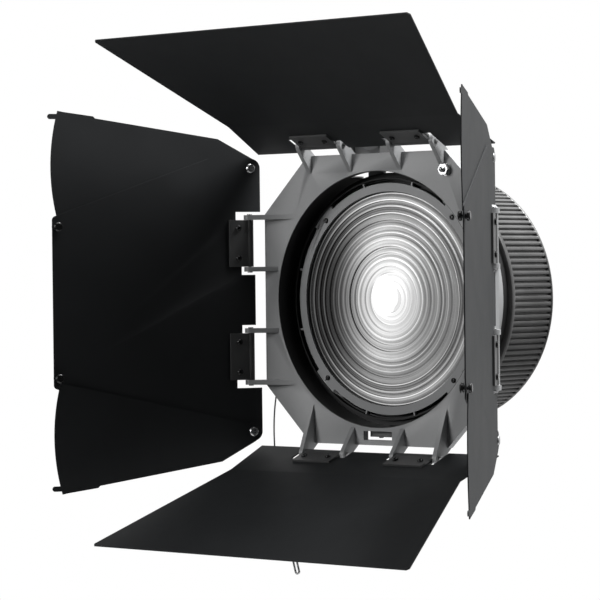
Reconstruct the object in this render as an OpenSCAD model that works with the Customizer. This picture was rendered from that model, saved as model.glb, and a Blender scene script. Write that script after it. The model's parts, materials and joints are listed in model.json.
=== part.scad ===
// Fresnel lens head for a studio light: a bayonet-mounted lens housing with a ribbed focus ring,
// and a four-leaf barn door whose side leaves carry fold-out flaps.
// The origin is the centre of the rear mount face; the beam leaves along -Y and +Z is up.

/* [Rear mount] */
// Diameter across the three bayonet lugs
bayonet_d = 98; // [92:1:104]
// Diameter of the spigot that carries the lugs
spigot_d = 86; // [80:1:90]
// Clear bore of the rear throat
throat_d = 78; // [60:1:79]
// How far the spigot stands behind the mount face
spigot_l = 12; // [9:1:16]
// Thickness of each bayonet lug
lug_thick = 3.5; // [2.5:0.5:5]
// Diameter of the mount plate
mount_d = 142; // [130:1:150]
// Thickness of the mount plate
mount_t = 6; // [5:0.5:8]

/* [Housing] */
// Outer radius of the front housing
housing_r = 111; // [108:0.5:116]
// Wall of the housing shells
shell_t = 2.5; // [2:0.25:3]
// Length of the rear cone
cone_l = 43.4; // [38:0.2:48]
// Length of the front housing
front_l = 33; // [30:1:38]
// Outer radius of the fixed guide tube
guide_r = 91; // [84:0.5:93]
// Wall of the guide tube
guide_t = 3; // [2.5:0.25:4]

/* [Focus ring] */
// Outer radius over the grip ribs
grip_r = 115.5; // [113:0.5:122]
// Length of the grip
grip_l = 64; // [54:1:70]
// Number of grip ribs
grip_ribs = 126; // [60:2:144]
// Depth of the grooves between the ribs
groove_d = 2; // [1:0.25:2.5]
// Carriage travel to each side of the middle
carriage_travel = 15; // [10:0.5:15.5]
// Ring turn to each side of the middle, degrees
ring_turn = 45; // [30:5:55]
// Radius of the follower pins
follower_r = 4; // [3:0.25:5]

/* [Lenses] */
// Radius of the front stepped lens
lens_r = 101; // [97:0.5:102]
// Edge thickness of the front lens
lens_edge = 4; // [3:0.5:5]
// Number of steps in the front lens
lens_steps = 16; // [10:1:20]
// Depth of one step
step_h = 2.2; // [1.5:0.1:2.6]
// Radius of the moving condenser lens
condenser_r = 58; // [50:1:60]
// Thickness of the condenser lens at its middle
condenser_h = 15; // [12:1:18]

/* [Door frame] */
// Half width across the flats of the octagonal frame
frame_half = 133; // [130:1:136]
// Half length of each straight side
frame_side = 80; // [79:0.5:84]
// Thickness of the frame plate
frame_t = 7; // [5:0.5:9]
// Radius of the frame opening
opening_r = 116.8; // [115:0.1:118]
// Distance of the hinge pins from the beam axis
hinge_r = 141.5; // [140:0.5:146]
// Height of the hinge pins in front of the frame
hinge_h = 12; // [11:0.5:14]
// Thickness of each hinge lug
lug_t = 4.4; // [3.5:0.1:5]
// Offset of the inner hinge lugs from the middle of a side
lug_in = 28.8; // [26:0.2:31]
// Offset of the outer hinge lugs from the middle of a side
lug_out = 77.4; // [72:0.2:80]
// Radius of the hinge pins
pin_r = 1.5; // [1.2:0.1:2]
// Sideways place of the frame latch
latch_x = -20; // [-22:1:0]

/* [Leaves] */
// Length of a leaf from its hinge pins
leaf_l = 192; // [165:1:215]
// Thickness of the leaf sheet
sheet_t = 1.2; // [1:0.1:1.5]
// Half width of a leaf at its hinge
leaf_half = 132.5; // [130:0.5:134]
// Half width of the top and bottom leaves at the free edge
wide_half = 180; // [165:1:190]
// Half width of the side leaves at the free edge
narrow_half = 79.5; // [70:0.5:90]
// Length of the flat strip behind the bend
strip_l = 43; // [35:1:60]
// Bend of the top and bottom leaves, degrees
bend = 3.5; // [0:0.5:4]
// Opening angle of the top leaf at rest, degrees
top_open = 27; // [10:1:40]
// Opening angle of the bottom leaf at rest, degrees
bottom_open = 21; // [10:1:40]
// Opening angle of the left leaf at rest, degrees
left_open = 29; // [10:1:40]
// Opening angle of the right leaf at rest, degrees
right_open = 29; // [10:1:40]
// Thickness of the flaps
flap_t = 1; // [0.8:0.1:1.2]

/* [Clearances] */
// Running clearance of pins and pivots, radial
run_gap = 0.08; // [0.04:0.01:0.1]
// Gap between parts that turn past each other
turn_gap = 0.6; // [0.4:0.1:1]
// Radial gap round a clamped or seated part
seat_gap = 0.3; // [0.1:0.05:0.4]
// Radial clearance of a screw in its hole
screw_gap = 0.1; // [0.05:0.05:0.3]

/* [Hidden] */
$fn = 96;

TOP = 0;
LEFT = 1;
BOTTOM = 2;
RIGHT = 3;

// Places along the beam axis, measured forward from the mount face
cone_z = mount_t;
grip_z = cone_z + cone_l + turn_gap;
front_z = grip_z + grip_l + turn_gap;
lens_seat_z = front_z + 22;
gasket_t = 1;
lens_z = lens_seat_z + 2;
bezel_z = lens_z + lens_edge + gasket_t;
bezel_t = 3;
flange_z = front_z + 24;
flange_t = 4;
frame_z = front_z + front_l + 10.5;
frame_front = frame_z + frame_t;
pin_z = frame_front + hinge_h;

// Radii of the housing
cone_rear_r = mount_d / 2 - 1;
cone_front_r = grip_r - 5;
web_z = cone_z + cone_l - 13;
web_t = 3;
cam_in = guide_r + turn_gap;
cam_t = 4;
cam_out = cam_in + cam_t;
grip_wall = 4;
grip_in = grip_r - grip_wall - groove_d;
guide_in = guide_r - guide_t;
guide_z = web_z + web_t;
guide_end = front_z + 4;
flange_r = opening_r - seat_gap - 0.7;
bezel_out = 106.2;
vent_out = housing_r - 1.2;
bezel_in = lens_r - 2.5;
carriage_t = 6;
carriage_z = grip_z + (grip_l - carriage_t) / 2;
slide_w = 4;

// Inner radius of the rear cone at a height along the axis
function cone_inner(z) = cone_rear_r + (cone_front_r - 1 - cone_rear_r) * (z - cone_z) / (cone_l - 3) - 1.4 * shell_t;
function polar(r, a) = [r * cos(a), r * sin(a)];

module forward() { rotate([90, 0, 0]) children(); }
module ring(inner, outer, length) {
    difference() {
        cylinder(r = outer, h = length, $fn = 180);
        translate([0, 0, -1]) cylinder(r = inner, h = length + 2, $fn = 180);
    }
}
module around(count, start = 0) { for (i = [0:count - 1]) rotate([0, 0, start + i * 360 / count])
    children(); }

// A cap screw with a domed head that points forward, its underside at z = 0
module dome_screw(shank_r, head_r, head_h, length) {
    difference() {
        union() {
            cylinder(r = head_r, h = head_h * 0.5);
            translate([0, 0, head_h * 0.5]) cylinder(r1 = head_r, r2 = head_r * 0.7, h = head_h * 0.5,
                $fn = 48);
        }
        translate([0, 0, head_h * 0.4]) cylinder(r = shank_r * 0.9, h = head_h, $fn = 6);
    }
    translate([0, 0, -length]) cylinder(r = shank_r, h = length + 0.5);
}

/* Rear mount and housing */
mount_screw_r = 2;
mount_screw_at = 52;
module mount_plate() {
    color("#26262a") forward() difference() {
        ring(throat_d / 2, mount_d / 2, mount_t);
        around(6, 30) translate([mount_screw_at, 0, -1]) cylinder(r = mount_screw_r + screw_gap,
            h = mount_t + 2);
        around(6, 30) translate([mount_screw_at, 0, -1]) cylinder(r = 2 * mount_screw_r,
            h = 1 + mount_t / 2);
    }
}
module bayonet_ring() {
    color("#b9bac0") forward() translate([0, 0, -spigot_l]) difference() {
        union() {
            cylinder(r = spigot_d / 2, h = spigot_l, $fn = 180);
            intersection() {
                cylinder(r = bayonet_d / 2, h = lug_thick, $fn = 180);
                around(3, 75) rotate_extrude(angle = 30, $fn = 180) square([bayonet_d, lug_thick]);
            }
        }
        translate([0, 0, -1]) cylinder(r = throat_d / 2, h = spigot_l + 2, $fn = 180);
    }
}
vent_w = 4;
module mount_screws() {
    color("#3a3a3e") forward() around(6, 30) translate([mount_screw_at, 0, mount_t / 2])
        rotate([180, 0, 0])
        dome_screw(mount_screw_r, 2 * mount_screw_r - 0.3, 2.4, mount_t / 2 + 10);
}
module rear_housing() {
    color("#232326") forward() difference() {
        union() {
            rotate_extrude($fn = 180) polygon([
                [cone_rear_r, cone_z], [cone_front_r - 1, cone_z + cone_l - 3],
                    [cone_front_r, cone_z + cone_l],
                [cone_front_r - shell_t, cone_z + cone_l], [cone_inner(cone_z + cone_l - 3),
                    cone_z + cone_l - 3],
                [cone_inner(web_z + web_t), web_z + web_t], [guide_in - 6, web_z + web_t],
                    [guide_in - 6, web_z],
                [cone_inner(web_z), web_z], [cone_inner(cone_z + 4), cone_z + 4],
                [mount_screw_at - 6, cone_z + 4], [mount_screw_at - 6, cone_z]]);
            around(6, 30) translate([mount_screw_at, 0, cone_z]) cylinder(r = 5, h = 14);
        }
        around(6, 30) translate([mount_screw_at, 0, cone_z - 1]) cylinder(r = mount_screw_r, h = 11);
        around(6, 30) translate([guide_r - 6, 0, web_z - 1]) cylinder(r = guide_screw_r + screw_gap,
            h = web_t + 2);
        around(18, 0) translate([cone_rear_r, -vent_w / 2, cone_z + 14])
            cube([cone_front_r - cone_rear_r, vent_w, web_z - cone_z - 17]);
    }
}
guide_screw_r = 1.5;
module guide_tube() {
    color("#8d8e94") forward() difference() {
        union() {
            translate([0, 0, guide_z]) ring(guide_in, guide_r, guide_end - guide_z);
            translate([0, 0, guide_z]) ring(guide_in - 6, guide_r, 5);
            translate([0, 0, guide_end - 5]) ring(guide_in - 6, guide_r, 5);
        }
        around(3, 90) translate([guide_r, 0, carriage_z + carriage_t / 2]) follower_slot();
        around(6, 30) translate([guide_r - 6, 0, guide_z - 1]) cylinder(r = guide_screw_r, h = 7);
        around(6, 0) translate([guide_r - 6, 0, guide_end - 6]) cylinder(r = guide_screw_r, h = 7);
    }
}
module follower_slot() {
    slot_r = follower_r + turn_gap;
    for (end = [-1, 1]) translate([-10, 0, end * carriage_travel]) rotate([0, 90, 0])
        cylinder(r = slot_r, h = 20);
    translate([-10, -slot_r, -carriage_travel]) cube([20, 2 * slot_r, 2 * carriage_travel]);
}
module guide_screws() {
    color("#3a3a3e") forward() around(6, 30) translate([guide_r - 6, 0, web_z]) rotate([180, 0, 0])
        dome_screw(guide_screw_r, 2.8, 1.8, web_t + 4);
}
module front_housing() {
    color("#1c1c1f") forward() difference() {
        union() {
            translate([0, 0, front_z]) ring(housing_r - shell_t, housing_r, front_l);
            translate([0, 0, front_z]) ring(guide_r + seat_gap, housing_r, 4);
            translate([0, 0, front_z + 4]) ring(guide_in - 6, housing_r, 3);
            translate([0, 0, lens_seat_z]) ring(lens_r - 4, housing_r, 2);
            translate([0, 0, lens_z]) ring(lens_r + seat_gap, bezel_out - 0.5, lens_edge + gasket_t);
            translate([0, 0, flange_z]) ring(housing_r - 1, flange_r, flange_t);
            around(12, 15) translate([bezel_out - 1.5, -1, bezel_z - 4])
                cube([vent_out - bezel_out + 1.7, 2, 4]);
        }
        translate([0, 0, bezel_z]) ring(bezel_out - 0.5, vent_out, front_l);
        around(4, 45) translate([bezel_screw_at, 0, lens_z + 1]) cylinder(r = bezel_screw_r, h = 10);
        around(6, 0) translate([guide_r - 6, 0, front_z + 2])
            cylinder(r = guide_screw_r + screw_gap, h = 10);
    }
}
module front_housing_screws() {
    color("#3a3a3e") forward() around(6, 0) translate([guide_r - 6, 0, front_z + 7])
        dome_screw(guide_screw_r, 2.8, 1.8, 6.5);
}

/* Front lens */
module fresnel_lens() {
    pitch = (lens_r - 5) / lens_steps;
    color("#d9dde0") forward() translate([0, 0, lens_z]) rotate_extrude($fn = 180) polygon(concat(
        [[0, 0], [lens_r, 0], [lens_r, lens_edge], [lens_r - 5, lens_edge]],
        [for (i = [lens_steps:-1:1]) each [[i * pitch, lens_edge],
            [(i - 0.88) * pitch, lens_edge + step_h * min(1, 0.45 + i / 14)]]],
        [[0, lens_edge + 1]]));
}
module lens_gasket() {
    color("#101012") forward() translate([0, 0, lens_z + lens_edge])
        ring(lens_r - 3.5, lens_r, gasket_t);
}
bezel_screw_r = 1.25;
bezel_screw_at = 103.6;
module lens_bezel() {
    color("#7c7d84") forward() difference() {
        union() {
            translate([0, 0, bezel_z]) ring(bezel_in, bezel_out, bezel_t);
            around(12, 15) translate([bezel_out - 1, -0.8, bezel_z])
                cube([vent_out - bezel_out + 0.8, 1.6, bezel_t]);
            around(4, 45) rotate([0, 0, -7]) translate([0, 0, bezel_z])
                rotate_extrude(angle = 14, $fn = 180)
                translate([bezel_out - 1, 0]) square([vent_out - bezel_out + 0.8, bezel_t]);
        }
        around(4, 45) translate([bezel_screw_at, 0, bezel_z - 1])
            cylinder(r = bezel_screw_r + screw_gap, h = bezel_t + 2);
    }
}
module bezel_screws() {
    color("#3a3a3e") forward() around(4, 45) translate([bezel_screw_at, 0, bezel_z + bezel_t])
        dome_screw(bezel_screw_r, 2.4, 1.5, bezel_t + 3.5);
}

/* Focus ring */
module focus_grip() {
    pitch = 360 / grip_ribs;
    lip_f = 5;
    lip_r = 2.5;
    color("#2a2a2d") forward() difference() {
        translate([0, 0, grip_z]) union() {
            linear_extrude(grip_l) polygon([for (i = [0:grip_ribs - 1]) each [
                polar(grip_r - groove_d, (i - 0.27) * pitch), polar(grip_r - 0.5, (i - 0.2) * pitch),
                polar(grip_r - 0.5, (i + 0.2) * pitch), polar(grip_r - groove_d, (i + 0.27) * pitch)]]);
            cylinder(r = grip_r, h = lip_r, $fn = 180);
            translate([0, 0, grip_l - lip_f]) cylinder(r = grip_r, h = lip_f, $fn = 180);
        }
        translate([0, 0, grip_z - 1]) cylinder(r = grip_in, h = grip_l + 2, $fn = 180);
    }
}
helix_rate = carriage_travel / ring_turn;
module cam_slot() {
    steps = 12;
    span = ring_turn + 2;
    seg = 2 * span / steps;
    slot_r = follower_r + run_gap + 0.2;
    lean = atan(helix_rate * 180 / PI / (cam_in + cam_t / 2));
    run = PI / 180 * seg * (cam_in + cam_t / 2) / cos(lean);
    for (i = [0:steps - 1]) {
        a = -span + (i + 0.5) * seg;
        rotate([0, 0, a]) translate([cam_in - 3, 0, -a * helix_rate]) rotate([-90 - lean, 0, 0])
            translate([0, -slot_r, -run / 2 - 0.4]) cube([cam_t + 6, 2 * slot_r, run + 0.8]);
    }
    for (end = [-1, 1]) rotate([0, 0, end * span]) translate([cam_in - 3, 0, -end * span * helix_rate])
        rotate([0, 90, 0])
        cylinder(r = slot_r, h = cam_t + 6);
}
cam_z = grip_z + 3;
cam_l = grip_l - 6;
module cam_sleeve() {
    color("#9a9ba1") forward() difference() {
        union() {
            translate([0, 0, cam_z]) ring(cam_in, cam_out, cam_l);
            translate([0, 0, cam_z + 2]) ring(cam_in, grip_in, 4);
            translate([0, 0, cam_z + cam_l - 6]) ring(cam_in, grip_in, 4);
        }
        around(3, 90) translate([0, 0, carriage_z + carriage_t / 2]) cam_slot();
        around(6) for (z = [cam_z + 1, cam_z + cam_l - 7])
            translate([(cam_out + grip_in) / 2, 0, z]) cylinder(r = (grip_in - cam_out) / 2 - 1.5,
                h = 6);
    }
}
module slide_ring(z) {
    color("#d8d4c4") forward() translate([0, 0, z]) ring(guide_r + 0.02, cam_in - 0.02, slide_w);
}
module rear_slide_ring() { slide_ring(cam_z + 1); }
module front_slide_ring() { slide_ring(cam_z + cam_l - slide_w - 1); }

/* Moving condenser */
cell_r = condenser_r + 3;
module lens_carriage() {
    color("#8a8b91") forward() translate([0, 0, carriage_z]) difference() {
        union() {
            ring(condenser_r - 2, guide_in - turn_gap, carriage_t);
            translate([0, 0, -4]) ring(condenser_r + seat_gap, cell_r, carriage_t + 6);
        }
        translate([0, 0, 2]) cylinder(r = condenser_r + seat_gap, h = carriage_t + 6, $fn = 180);
        around(6, 0) translate([(cell_r + guide_in) / 2 - 1, 0, -5])
            cylinder(r = 8, h = carriage_t + 10);
        around(3, 90) translate([guide_in - 14, 0, carriage_t / 2]) rotate([0, 90, 0])
            cylinder(r = follower_screw_r, h = 20);
    }
}
follower_screw_r = 1.5;
module condenser_lens() {
    ball = (condenser_r * condenser_r + (condenser_h - 4) * (condenser_h - 4)) / (2 * (condenser_h - 4));
    color("#e8f0ee") forward() translate([0, 0, carriage_z + 2]) intersection() {
        cylinder(r = condenser_r, h = condenser_h, $fn = 180);
        translate([0, 0, condenser_h - ball]) sphere(r = ball, $fn = 180);
    }
}
module condenser_retainer() {
    color("#2a2a2d") forward() translate([0, 0, carriage_z + carriage_t + 0.6])
        ring(condenser_r - 1, condenser_r + seat_gap, 1.4);
}
module follower_pins() {
    color("#c9cacf") forward() around(3, 90) translate([0, 0, carriage_z + carriage_t / 2])
        rotate([0, 90, 0]) {
        translate([0, 0, guide_in - turn_gap]) cylinder(r = follower_r,
            h = cam_out - guide_in + turn_gap - 0.5);
        translate([0, 0, guide_in - 8]) cylinder(r = follower_screw_r, h = 9);
    }
}

/* Door frame */
module on_side(side) { rotate([0, 0, 90 * side]) children(); }
module octagon(half, side) {
    polygon([for (k = [0:3]) each [
        [[side, half], [-side, half]], [[-half, side], [-half, -side]],
        [[-side, -half], [side, -half]], [[half, -side], [half, side]]][k]]);
}
module hinge_lug(foot) {
    eye_r = pin_r + 4;
    rotate([90, 0, 90]) translate([0, 0, -lug_t / 2]) linear_extrude(lug_t) difference() {
        union() {
            translate([hinge_r, pin_z]) circle(r = eye_r);
            polygon([[foot, frame_front - 1], [foot, frame_front], [hinge_r - 3.2, pin_z + eye_r * 0.8],
                [hinge_r + 4.6, pin_z + eye_r * 0.5], [hinge_r + 5.4, pin_z - 1],
                    [frame_half, frame_z + 1],
                [frame_half - 4, frame_z + 1]]);
        }
        translate([hinge_r, pin_z]) circle(r = pin_r);
    }
}
rim_t = 3;
clip_w = 33;
module door_frame() {
    foot_long = frame_half - 36;
    foot_short = opening_r;
    color("#75767d") forward() difference() {
        union() {
            translate([0, 0, frame_z]) linear_extrude(frame_t) octagon(frame_half, frame_side);
            translate([0, 0, flange_z + flange_t - 9]) cylinder(r = opening_r + rim_t,
                h = frame_z - flange_z - flange_t + 10, $fn = 180);
            for (side = [0:3], dir = [-1, 1]) on_side(side) {
                translate([dir * lug_in, 0, 0]) hinge_lug(foot_short);
                translate([dir * lug_out, 0, 0]) hinge_lug(side == TOP ? foot_short : foot_long);
            }
        }
        translate([0, 0, flange_z - 20]) cylinder(r = opening_r, h = 60, $fn = 180);
        translate([-clip_w / 2, -frame_half + 4.6, frame_z - 1]) cube([clip_w, 8.2, frame_t + 2]);
        translate([lock_x, lock_y, frame_z - 1]) cylinder(r = lock_stud_r, h = frame_t + 2);
        translate([lock_x, lock_y, frame_front]) cylinder(r = nut_flange_r + seat_gap, h = hinge_h);
        translate([anchor_x, anchor_y, frame_z - 1]) cylinder(r = anchor_r, h = 5);
        translate([latch_x - latch_w / 2 - seat_gap, opening_r - 5, flange_z - 6])
            cube([latch_w + 2 * seat_gap, 20, frame_z - flange_z + 5.9]);
    }
}

module frame_clip() {
    back = flange_z - 9;
    color("#3c3d42") forward() difference() {
        union() {
            translate([-14, -opening_r - rim_t - 6, back]) cube([28, 7, frame_z - back]);
            translate([-11, -opening_r - rim_t - 6, back]) cube([22, 11, 3]);
        }
        translate([0, 0, back + 3]) cylinder(r = opening_r + rim_t, h = 40, $fn = 180);
        for (dir = [-1, 1]) translate([dir * 8, 0, clip_screw_z]) rotate([90, 0, 0])
            cylinder(r = clip_screw_r + screw_gap, h = 140);
    }
}
clip_screw_r = 1.25;
clip_screw_z = flange_z + 11;
module clip_screws() {
    color("#3a3a3e") forward() for (dir = [-1, 1]) translate([dir * 8, -opening_r - rim_t - 6,
        clip_screw_z])
        rotate([90, 0, 0]) dome_screw(clip_screw_r, 2.4, 1.5, 6);
}
lock_x = 81;
lock_y = 115.5;
lock_stud_r = 2.5;
nut_flange_r = 5.6;
module lock_stud() {
    color("#d8d9dc") forward() translate([lock_x, lock_y, frame_z - 3]) {
        cylinder(r = 5, h = 3);
        cylinder(r = lock_stud_r, h = frame_t + 9);
        translate([0, 0, frame_t + 9]) intersection() {
            sphere(r = lock_stud_r);
            translate([0, 0, 5]) cube(10, center = true);
        }
    }
}
module lock_nut() {
    color("#c4c5c9") forward() translate([lock_x, lock_y, frame_front]) difference() {
        union() {
            cylinder(r = nut_flange_r, h = 1);
            translate([0, 0, 1]) cylinder(r = nut_flange_r - 0.1, h = 4, $fn = 6);
        }
        translate([0, 0, -1]) cylinder(r = lock_stud_r, h = 7);
    }
}
module hinge_pins() {
    from = lug_in - lug_t / 2;
    to = lug_out + lug_t / 2;
    color("#a9aab0") forward() for (side = [0:3], dir = [-1, 1]) on_side(side)
        translate([0, hinge_r, pin_z]) rotate([0, dir * 90, 0]) {
            translate([0, 0, from]) cylinder(r = pin_r, h = to - from);
            translate([0, 0, from - 1]) cylinder(r = pin_r + 0.9, h = 1);
            translate([0, 0, to]) cylinder(r = pin_r + 0.9, h = 1);
        }
}

/* Frame latch */
latch_w = 36;
latch_wall = 2.4;
latch_travel = 5;
latch_face = frame_z - 11.5;
latch_back = flange_z - 4;
latch_low = opening_r + 0.8;
latch_top = 158;
latch_roof = latch_top + 10;
ear_w = 10;
latch_screw_r = 1.5;
module latch_housing() {
    half = latch_w / 2 + seat_gap;
    base = opening_r + rim_t + 1;
    color("#55565c") forward() translate([latch_x, 0, 0]) difference() {
        union() {
            for (dir = [-1, 1]) translate([dir * (half + latch_wall / 2) - latch_wall / 2, base,
                latch_back - seat_gap])
                cube([latch_wall, latch_roof - base, frame_z - latch_back + seat_gap]);
            translate([-half - latch_wall, base, latch_back - latch_wall - seat_gap])
                cube([2 * (half + latch_wall), latch_roof - base, latch_wall]);
            translate([-half - latch_wall, latch_roof, latch_back - latch_wall - seat_gap])
                cube([2 * (half + latch_wall), latch_wall, latch_face - latch_back + latch_wall + seat_gap]);
            for (dir = [-1, 1]) translate([dir * (half + latch_wall + ear_w / 2) - ear_w / 2, base + 1,
                frame_z - 3])
                cube([ear_w, frame_half - base - 2, 3]);
        }
        for (dir = [-1, 1]) translate([dir * (half + latch_wall + ear_w / 2), (base + frame_half) / 2,
            frame_z - 4])
            cylinder(r = latch_screw_r + screw_gap, h = 5);
    }
}
module frame_latch() {
    color("#8d8e95") forward() translate([latch_x, 0, 0]) difference() {
        union() {
            translate([-latch_w / 2, latch_low, latch_back]) cube([latch_w, latch_top - latch_low,
                latch_face - latch_back]);
            translate([-9, flange_r - 3, latch_back]) cube([18, 6, flange_z - latch_back - 0.4]);
        }
        translate([0, latch_top - 6, latch_face + 24]) sphere(r = 28.3, $fn = 96);
        for (dir = [-1, 1]) translate([dir * 11, latch_top - 9, (latch_back + latch_face) / 2 - 2])
            rotate([-90, 0, 0])
            cylinder(r = spring_r + wire_r + 0.4, h = 12);
    }
}
spring_r = 2.1;
wire_r = 0.35;
module latch_spring() {
    turns = 7;
    low = latch_top - 9;
    rings = 10 * turns;
    sides = 6;
    rise = (latch_roof - low - 2 * wire_r) / turns;
    points = [for (i = [0:rings]) let (a = i * 36) for (k = [0:sides - 1])
        let (b = k * 360 / sides, r = spring_r + wire_r * cos(b))
        [r * cos(a), r * sin(a), wire_r + rise * i / 10 + wire_r * sin(b)]];
    faces = concat(
        [for (i = [0:rings - 1], k = [0:sides - 1]) let (a = i * sides, b = a + sides, n = (k + 1)
            % sides)
            each [[a + k, a + n, b + n], [a + k, b + n, b + k]]],
        [[for (k = [sides - 1:-1:0]) k]], [[for (k = [0:sides - 1]) rings * sides + k]]);
    color("#c8c9cc") forward() for (dir = [-1, 1])
        translate([latch_x + dir * 11, low, (latch_back + latch_face) / 2 - 2]) rotate([-90, 0, 0])
            polyhedron(points, faces);
}
module latch_guide_screws() {
    half = latch_w / 2 + seat_gap;
    color("#3a3a3e") forward() for (dir = [-1, 1])
        translate([latch_x + dir * (half + latch_wall + ear_w / 2),
            (opening_r + rim_t + 1 + frame_half) / 2, frame_z - 3])
            rotate([180, 0, 0]) dome_screw(latch_screw_r, 2.8, 1.6, 3);
}

/* Leaves: in a leaf's own frame the hinge pin is the x axis, the leaf runs along +z and +y is its outer side */
module leaf_place(side, open) {
    forward() on_side(side) translate([0, hinge_r, pin_z]) rotate([-open, 0, 0]) children();
}
module slab(low, thick) { translate([0, low + thick, 0]) rotate([90, 0, 0]) linear_extrude(thick)
    children(); }
plate_from = lug_in + lug_t / 2 + 0.2;
plate_to = lug_out - lug_t / 2 - 0.2;
plate_t = 2;
plate_out = 21;
knuckle_r = pin_r + 2;
screw_at = [plate_from + 8, plate_to - 7.6];
leaf_screw_out = 12;
leaf_screw_r = 1.5;
pivot = [leaf_half - 9, -1.5];
pivot_r = 2;
stud_at = [narrow_half - 10, leaf_l - 5];
stud_shank_r = 1.5;
corner_r = 9;
free_corner_r = 4;
notch = 3;
// The sheet starts this far before the pin's centre; each lug and knuckle has its own cut in the edge
edge_back = 10.5;
plate_cut = 4.2;
inner_lug_cut = 8.5;
outer_lug_cut = 14;
middle_cut = 5;
deep = 20;
module hinge_edge_cuts() {
    for (dir = [-1, 1]) scale([dir, 1]) {
        translate([plate_from - 0.2, -deep]) square([plate_to - plate_from + 0.4, deep + plate_cut]);
        translate([lug_in - lug_t / 2 - notch, -deep]) square([lug_t + notch + 0.4,
            deep + inner_lug_cut]);
        translate([lug_out - lug_t / 2 - 0.4, -deep]) square([lug_t + notch + 0.4,
            deep + outer_lug_cut]);
        for (x = screw_at) translate([x, leaf_screw_out]) circle(r = leaf_screw_r + screw_gap);
    }
    translate([-lug_in, -deep]) square([2 * lug_in, deep - middle_cut]);
}
// Sheet bent outwards once, as a long bar whose sides are then cut to the leaf's outline
module bent_sheet() {
    half = sheet_t / 2;
    mitre = half * tan(bend / 2);
    run = leaf_l - strip_l;
    end = [run * sin(bend), strip_l + run * cos(bend)];
    side = half * [cos(bend), -sin(bend)];
    rotate([90, 0, 90]) translate([0, 0, -wide_half]) linear_extrude(2 * wide_half) polygon([
        [-half, -12], [half, -12], [half, strip_l - mitre], end + side, end - side,
            [-half, strip_l + mitre]]);
}
module wide_leaf(side, open) {
    trim = 3;
    strip_half = leaf_half + 5;
    leaf_place(side, open) intersection() {
        bent_sheet();
        slab(-20, 60) difference() {
            polygon([[-strip_half, -edge_back], [strip_half, -edge_back], [leaf_half, strip_l],
                [wide_half, leaf_l - trim],
                [wide_half - trim, leaf_l + 1], [trim - wide_half, leaf_l + 1],
                    [-wide_half, leaf_l - trim],
                [-leaf_half, strip_l]]);
            hinge_edge_cuts();
        }
    }
}
module narrow_leaf(side, open) {
    leaf_place(side, open) {
        slab(-sheet_t / 2, sheet_t) difference() {
            hull() for (dir = [-1, 1]) {
                translate([dir * pivot[0], pivot[1]]) circle(r = corner_r);
                translate([dir * (leaf_half - 1), strip_l - 3]) circle(r = 1);
                translate([dir * (narrow_half - free_corner_r), leaf_l - free_corner_r])
                    circle(r = free_corner_r);
            }
            hinge_edge_cuts();
            for (dir = [-1, 1]) translate([dir * pivot[0], pivot[1]]) circle(r = pivot_r);
            for (dir = [-1, 1]) translate([dir * stud_at[0], stud_at[1]]) circle(r = stud_shank_r);
        }
    }
}
module hinge_plates(side, open) {
    leaf_place(side, open) for (dir = [-1, 1]) scale([dir, 1, 1]) difference() {
        union() {
            slab(-sheet_t / 2 - plate_t, plate_t) translate([plate_from, 0])
                square([plate_to - plate_from, plate_out]);
            translate([plate_from, 0, 0]) rotate([0, 90, 0]) cylinder(r = knuckle_r,
                h = plate_to - plate_from);
        }
        translate([plate_from - 1, 0, 0]) rotate([0, 90, 0]) cylinder(r = pin_r + run_gap,
            h = plate_to - plate_from + 2);
        for (x = screw_at) translate([x, 5, leaf_screw_out]) rotate([90, 0, 0])
            cylinder(r = leaf_screw_r + screw_gap, h = 10);
        translate([plate_from - 1, -sheet_t / 2, plate_cut - 0.4])
            cube([plate_to - plate_from + 2, 5, 20]);
    }
}
module backing_plates(side, open) {
    leaf_place(side, open) for (dir = [-1, 1]) scale([dir, 1, 1])
        slab(sheet_t / 2, plate_t) difference() {
            translate([plate_from, 5]) square([plate_to - plate_from, plate_out - 5]);
            for (x = screw_at) translate([x, leaf_screw_out]) circle(r = leaf_screw_r + screw_gap);
        }
}
module leaf_screws(side, open) {
    reach = sheet_t + 2 * plate_t;
    leaf_place(side, open) for (dir = [-1, 1], x = screw_at) translate([dir * x,
        -sheet_t / 2 - plate_t, leaf_screw_out]) rotate([90, 0, 0]) {
        dome_screw(leaf_screw_r, 2.7, 1.8, reach + 1.5);
        translate([0, 0, -reach - 2]) cylinder(r = 2.9, h = 2, $fn = 6);
    }
}
flap_low = sheet_t / 2 + 0.2;
// The flap on the +x side lies on the leaf's outer face, the other one on its inner face
module flap_face(dir) { mirror([0, dir > 0 ? 0 : 1, 0]) children(); }
module flap_rivets(side, open) {
    leaf_place(side, open) for (dir = [-1, 1]) flap_face(dir)
        translate([dir * pivot[0], -sheet_t / 2, pivot[1]]) rotate([-90, 0, 0]) {
            cylinder(r = pivot_r, h = sheet_t + flap_t + 1);
            translate([0, 0, -1.4]) rivet_head();
            translate([0, 0, sheet_t + flap_t + 1.8]) mirror([0, 0, 1]) rivet_head();
        }
}
stud_head_r = 4.2;
stud_head_t = 3;
stud_play = 0.4;
module catch_studs(side, open) {
    under = flap_low + flap_t + stud_play;
    leaf_place(side, open) for (dir = [-1, 1]) flap_face(dir)
        translate([dir * stud_at[0], 0, stud_at[1]]) rotate([-90, 0, 0]) {
        translate([0, 0, -under - 1]) cylinder(r = stud_shank_r, h = 2 * under + 2);
        translate([0, 0, -under]) cylinder(r = stud_shank_r + 1, h = under - sheet_t / 2);
        for (end = [0, 1]) mirror([0, 0, end]) translate([0, 0, under]) {
            cylinder(r = stud_head_r, h = stud_head_t - 1);
            translate([0, 0, stud_head_t - 1]) cylinder(r1 = stud_head_r, r2 = stud_head_r - 1, h = 1,
                $fn = 48);
        }
    }
}
module rivet_head() { cylinder(r1 = 3.4, r2 = 4.6, h = 1.4, $fn = 64); }
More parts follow.
